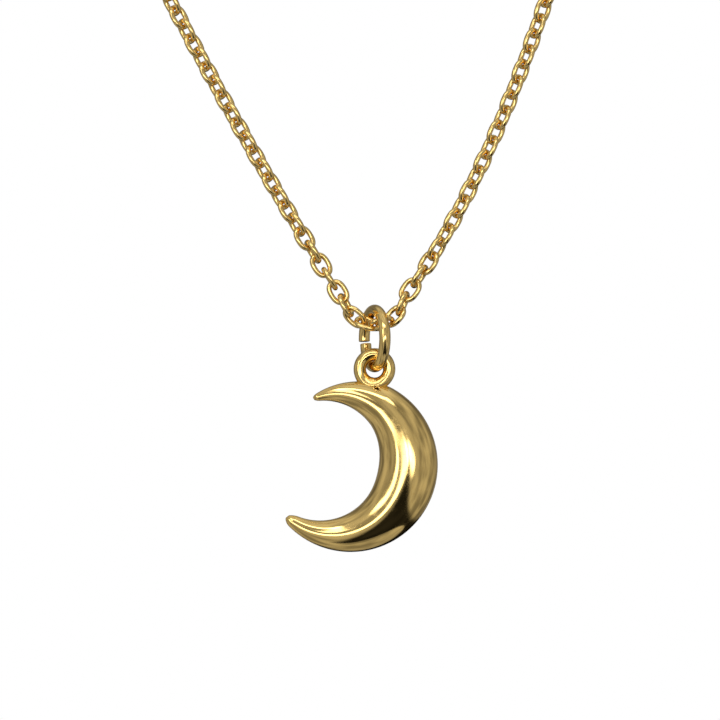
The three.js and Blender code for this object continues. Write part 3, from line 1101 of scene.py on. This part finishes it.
@dataclass
class Studio:
    """Camera, floor and the soft white surround that the metal mirrors."""

    picture_mm: float = 63.7
    lens: float = 100.0
    sensor: float = 36.0
    aim_mm: tuple = (-1.283, -3.4, -120.72)
    floor_drop_mm: float = 450.0
    tent: tuple = (0.20, 0.52)
    gap_depth: float = 0.96
    lamps: tuple = (
        ((0.26, 0.02), (0.16, 0.06), 0.09, 3.2),
        ((0.12, 0.08), (-0.05, 0.07), 0.05, 2.0),
        ((-0.05, 0.05), (-0.50, -0.10), 0.06, 3.0),
        ((-0.58, 0.02), (-0.68, 0.32), 0.06, 3.0),
        ((-0.36, 0.26), (-0.40, 0.60), 0.05, 2.6),
        ((-0.38, 0.66), (0.26, 0.66), 0.06, 3.0),
    )

    def camera(self) -> bpy.types.Object:
        """A level camera straight in front of the pendant.

        Returns:
            The camera.
        """
        data = bpy.data.cameras.new("camera")
        data.lens = self.lens
        data.sensor_width = self.sensor
        data.clip_start = 0.01
        camera = bpy.data.objects.new("camera", data)
        away = self.picture_mm * self.lens / self.sensor
        x, y, z = self.aim_mm
        camera.location = Vector((x, y - away, z)) * MM
        camera.rotation_euler = (pi / 2, 0, 0)
        bpy.context.scene.collection.objects.link(camera)
        bpy.context.scene.camera = camera
        return camera

    def floor(self) -> bpy.types.Object:
        """A pale round floor well below the necklace, a disc that mirrors don't show.

        Returns:
            The floor.
        """
        turn = np.linspace(0, tau, 96, endpoint=False)
        rim = np.stack([np.cos(turn), np.sin(turn), np.zeros(96)], -1) * 1.4
        rings = np.stack([rim * 0.02, rim * 0.5, rim]) + np.array([0.0, 0.0, -self.floor_drop_mm * MM])
        vertices = np.concatenate([rings.reshape(-1, 3), [[0.0, 0.0, -self.floor_drop_mm * MM]]])
        faces = grid_faces(3, 96, False).tolist() + pole_faces(0, 96, 288, True).tolist()
        mesh = bpy.data.meshes.new("floor")
        mesh.from_pydata(vertices.tolist(), [], faces)
        mesh.update()
        if mesh.polygons[0].normal.z < 0:
            mesh.flip_normals()
        floor = bpy.data.objects.new("floor", mesh)
        bpy.context.scene.collection.objects.link(floor)
        mat = bpy.data.materials.new("floor_paper")
        mat.use_nodes = True
        shader = mat.node_tree.nodes["Principled BSDF"]
        shader.inputs["Roughness"].default_value = 0.9
        sheet = NodeSheet(mat.node_tree)
        coords = mat.node_tree.nodes.new("ShaderNodeTexCoord")
        mottle = sheet.noise(coords.outputs["Object"], 3.0)
        tone = sheet.mix(mottle, (0.88, 0.88, 0.87, 1), (0.92, 0.92, 0.91, 1))
        mat.node_tree.links.new(tone, shader.inputs["Base Color"])
        floor.data.materials.append(mat)
        floor.visible_glossy = False
        return floor

    def surround(self) -> None:
        """White behind everything, and for light and reflections a soft grey tent with lamps and a dark
        low gap.

        d is the direction looked in. Each lamp is a capsule in the plane of dx and dz on the viewer's
        side: its light falls smoothly with distance from a line between two ends. The dark gap is a wedge
        below the axis.
        """
        world = bpy.data.worlds.new("studio")
        bpy.context.scene.world = world
        world.use_nodes = True
        tree = world.node_tree
        tree.nodes.clear()
        sheet = NodeSheet(tree)
        coords = tree.nodes.new("ShaderNodeTexCoord")
        split = tree.nodes.new("ShaderNodeSeparateXYZ")
        tree.links.new(coords.outputs["Generated"], split.inputs[0])
        dx, dy, dz = split.outputs
        toward = sheet.math("MULTIPLY", dy, -1.0)
        light = sheet.ramp(sheet.noise(coords.outputs["Generated"], 2.6, 2.0), 0.3, 0.7, *self.tent)
        light = sheet.math("MULTIPLY", light, sheet.ramp(toward, -0.7, 0.1, 0.55, 1.0))
        light = sheet.math("ADD", light, sheet.ramp(dz, 0.6, 0.95, 0.0, 0.25))
        low = sheet.math("MULTIPLY", dz, -1.0)
        left = sheet.ramp(sheet.math("ADD", dx, sheet.math("MULTIPLY", low, 0.36)), -0.12, 0.02)
        past_right = sheet.math("SUBTRACT", dx, sheet.math("MULTIPLY", low, 0.95))
        right = sheet.ramp(past_right, 0.0, 0.12, 1.0, 0.0)
        tall = sheet.math("MULTIPLY", sheet.ramp(low, -0.08, 0.10), sheet.ramp(low, 0.78, 0.80, 1.0, 0.0))
        gap = sheet.math("MULTIPLY", sheet.math("MULTIPLY", left, right), tall)
        left_over = sheet.math("SUBTRACT", 1.0, sheet.math("MULTIPLY", gap, self.gap_depth))
        light = sheet.math("MULTIPLY", light, left_over)
        flat = tree.nodes.new("ShaderNodeCombineXYZ")
        tree.links.new(dx, flat.inputs["X"])
        tree.links.new(dz, flat.inputs["Z"])
        near_side = sheet.ramp(toward, -0.35, 0.0)
        for start, end, half, strength in self.lamps:
            glow = self.lamp(sheet, flat.outputs[0], start, end, half, strength)
            light = sheet.math("ADD", light, sheet.math("MULTIPLY", glow, near_side))
        tent = tree.nodes.new("ShaderNodeBackground")
        tree.links.new(light, tent.inputs["Strength"])
        tent.inputs["Color"].default_value = (1.0, 0.99, 0.96, 1)
        plain = tree.nodes.new("ShaderNodeBackground")
        plain.inputs["Color"].default_value = (1, 1, 1, 1)
        path = tree.nodes.new("ShaderNodeLightPath")
        either = tree.nodes.new("ShaderNodeMixShader")
        out = tree.nodes.new("ShaderNodeOutputWorld")
        tree.links.new(path.outputs["Is Camera Ray"], either.inputs[0])
        tree.links.new(tent.outputs[0], either.inputs[1])
        tree.links.new(plain.outputs[0], either.inputs[2])
        tree.links.new(either.outputs[0], out.inputs["Surface"])

    def lamp(
        self,
        sheet: NodeSheet,
        flat: bpy.types.NodeSocket,
        start: tuple,
        end: tuple,
        half: float,
        strength: float,
    ) -> bpy.types.NodeSocket:
        """The light of one capsule-shaped lamp.

        With s the share of the way from start to end nearest to the direction, held within 0 and 1, the
        light falls from strength to nothing round half a width away from start + s (end - start).

        Args:
            sheet: the world's node sheet.
            flat: the direction with its depth left out.
            start: one end as (dx, dz).
            end: the other end as (dx, dz).
            half: half the lamp's width.
            strength: its light.

        Returns:
            The light as a socket.
        """
        first = (start[0], 0.0, start[1])
        span = (end[0] - start[0], 0.0, end[1] - start[1])
        from_first = sheet.vector("SUBTRACT", flat, first).outputs["Vector"]
        reach = sheet.vector("DOT_PRODUCT", from_first, span).outputs["Value"]
        share = sheet.math("DIVIDE", reach, span[0] ** 2 + span[2] ** 2, True)
        nearest = sheet.vector("SCALE", span, scale=share).outputs["Vector"]
        away = sheet.vector("DISTANCE", from_first, nearest).outputs["Value"]
        return sheet.ramp(away, 0.6 * half, 1.5 * half, strength, 0.0)

    def build(self) -> None:
        """Sets up everything that isn't the necklace."""
        self.camera()
        self.floor()
        self.surround()
        bpy.context.scene.view_settings.view_transform = "Standard"


def main() -> None:
    """Builds the studio and the necklace in order, and logs the count of single links and the moon's pieces.
    """
    logging.basicConfig(level=logging.INFO, format="%(message)s")
    Studio().build()
    moon = Moon()
    solder_at = tuple(float(v) for v in (moon.bail_centre() - np.array([0, 0, 1.2 * MM])) / MM)
    pendant_gold = Finish("pendant_gold_polish", solder_at=solder_at, solder_reach=1.3).material()
    solder_gold = Finish(
        "solder_gold", roughness=0.10, ripple=0.012, solder_at=solder_at, solder_reach=1.6
    ).material()
    ring_gold = Finish("ring_gold_polish", roughness=0.08).material()
    chain_gold = Finish(
        "chain_gold_polish", colour=(0.96, 0.69, 0.26), roughness=0.10, spread=0.10, ripple=0.006
    ).material()
    clasp_gold = Finish("clasp_gold_polish", roughness=0.10, spread=0.08).material()
    steel = Finish(
        "spring_steel_wire", colour=(0.62, 0.62, 0.60), deep=(0.40, 0.40, 0.38), roughness=0.22
    ).material()
    clasp_pieces = tuple(frame["nodes"][node] for node in ("clasp_body", "clasp_bolt", "clasp_spring"))
    clasp = SpringRingClasp()
    clasp.build(clasp_gold, steel)
    runs = (
        ChainRun("left", LEFT_RUN_MM, "link_left_23", -50.0, "catch_ring", 0.6, -1.0,
                 (bpy.data.objects["catch_ring_wire"], *clasp_pieces), pitch_mm=1.405),
        ChainRun("right", RIGHT_RUN_MM, "link_right_22", -52.0, "end_ring", 0.5, 1.0,
                 (bpy.data.objects["end_ring_wire"],), pitch_mm=1.445),
    )
    for run in runs:
        run.build(chain_gold)
    LOG.info("single links: %d", ChainLinks().build(chain_gold))
    JumpRing().build(ring_gold)
    moon.build(pendant_gold, solder_gold)


if __name__ == "__main__":
    main()
